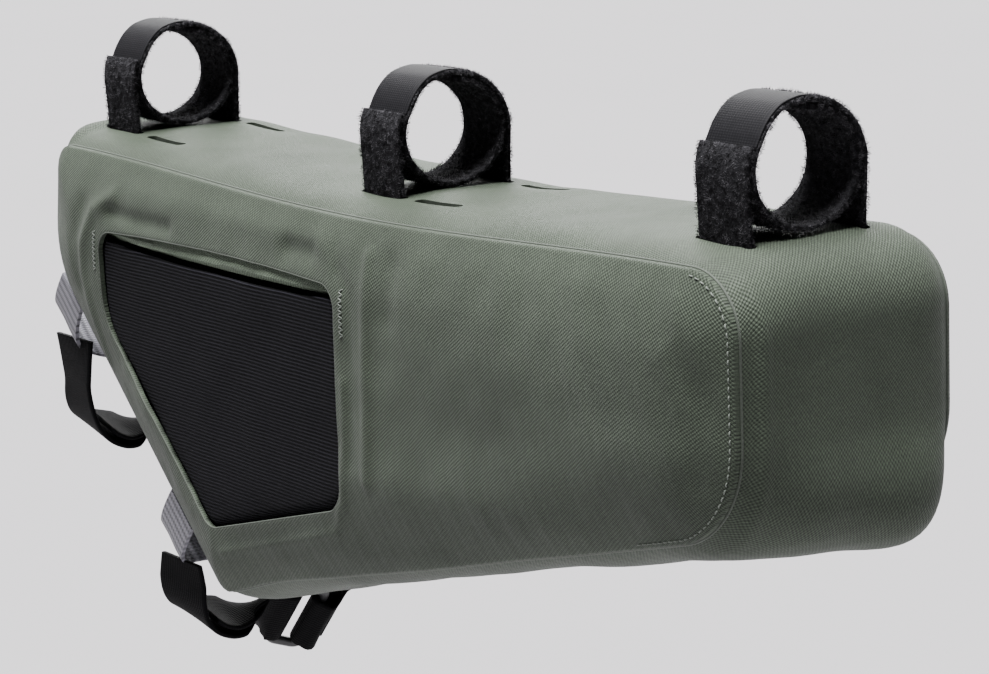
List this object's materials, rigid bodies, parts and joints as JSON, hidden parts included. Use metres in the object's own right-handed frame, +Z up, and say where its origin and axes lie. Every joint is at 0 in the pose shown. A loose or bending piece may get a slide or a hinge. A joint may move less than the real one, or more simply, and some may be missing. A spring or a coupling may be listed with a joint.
{
  "type": "bicycle frame bag",
  "caption": "Half-frame cloth bag that hangs under a bicycle's top tube, with hook-and-loop top straps, a stretch side pocket and hanging seat-tube straps.",
  "frame": {"origin": "centre of the middle top strap's loop, on the line of the top tube that the bag hangs from", "axes": "+X forward along the bag's top edge, +Y away from the side with the pocket, +Z up"},
  "size_m": [0.3775, 0.0795, 0.212],
  "materials": {
    "coated_cloth": "matte coated woven cloth",
    "pocket_cloth": "matte woven cloth",
    "stretch_mesh": "ribbed stretch cloth",
    "pile_strap": "hook-and-loop pile",
    "grey_webbing": "ribbed webbing",
    "black_webbing": "ribbed webbing",
    "buckle_plastic": "satin moulded plastic",
    "zip_tape": "coated zip tape"
  },
  "bodies": {
    "root": {"gusset": "coated_cloth", "near_panel": "coated_cloth", "far_panel": "coated_cloth", "pocket_mesh": "stretch_mesh", "pocket_back": "pocket_cloth", "zip_strip": "zip_tape", "top_strap_rear": "pile_strap", "top_strap_middle": "pile_strap", "top_strap_front": "pile_strap", "seat_keeper_upper": "grey_webbing", "seat_keeper_lower": "grey_webbing", "seat_strap_upper": "black_webbing", "seat_strap_lower": "black_webbing", "buckle_tab_upper": "black_webbing", "buckle_tab_lower": "black_webbing", "seat_buckle_upper": "buckle_plastic", "seat_buckle_lower": "buckle_plastic"}
  },
  "joints": []
}
